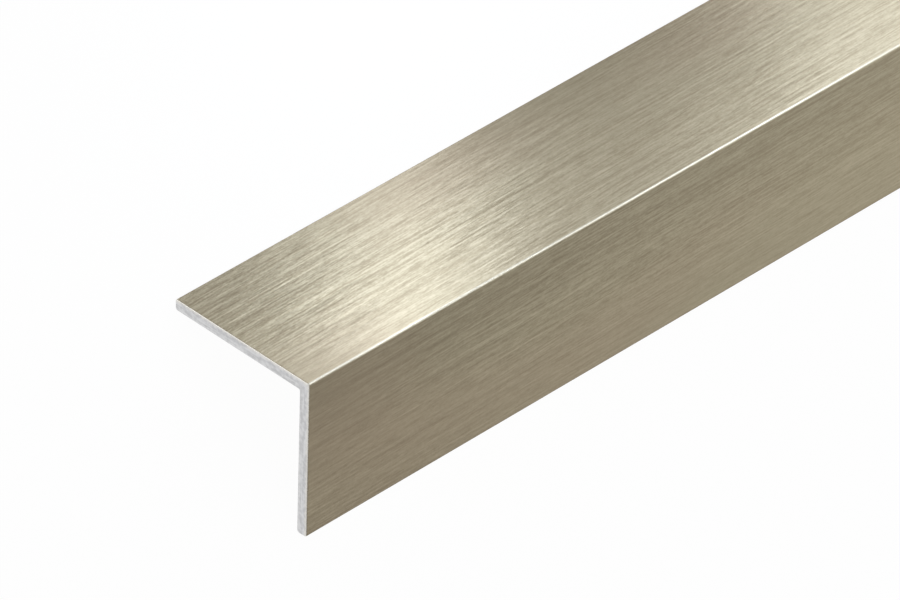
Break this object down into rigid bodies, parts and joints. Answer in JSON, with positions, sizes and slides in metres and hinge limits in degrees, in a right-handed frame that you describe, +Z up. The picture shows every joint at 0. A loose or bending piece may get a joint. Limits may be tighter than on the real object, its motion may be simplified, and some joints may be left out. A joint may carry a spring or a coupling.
{
  "type": "metal angle section",
  "caption": "Thin equal-leg aluminium angle in brushed champagne anodising, a straight stock length for edge trim, framing and corner protection.",
  "frame": {"origin": "on the floor, midway along the bar and midway between its two legs", "axes": "+X along the bar; +Z up through the outer corner, halfway between the legs; leg A slopes down to +Y and leg B to -Y"},
  "size_m": [1, 0.0212, 0.0111],
  "materials": {
    "champagne_aluminium": "satin, brushed along the bar, champagne anodised"
  },
  "bodies": {
    "root": {"angle_section": "champagne_aluminium"}
  },
  "joints": []
}
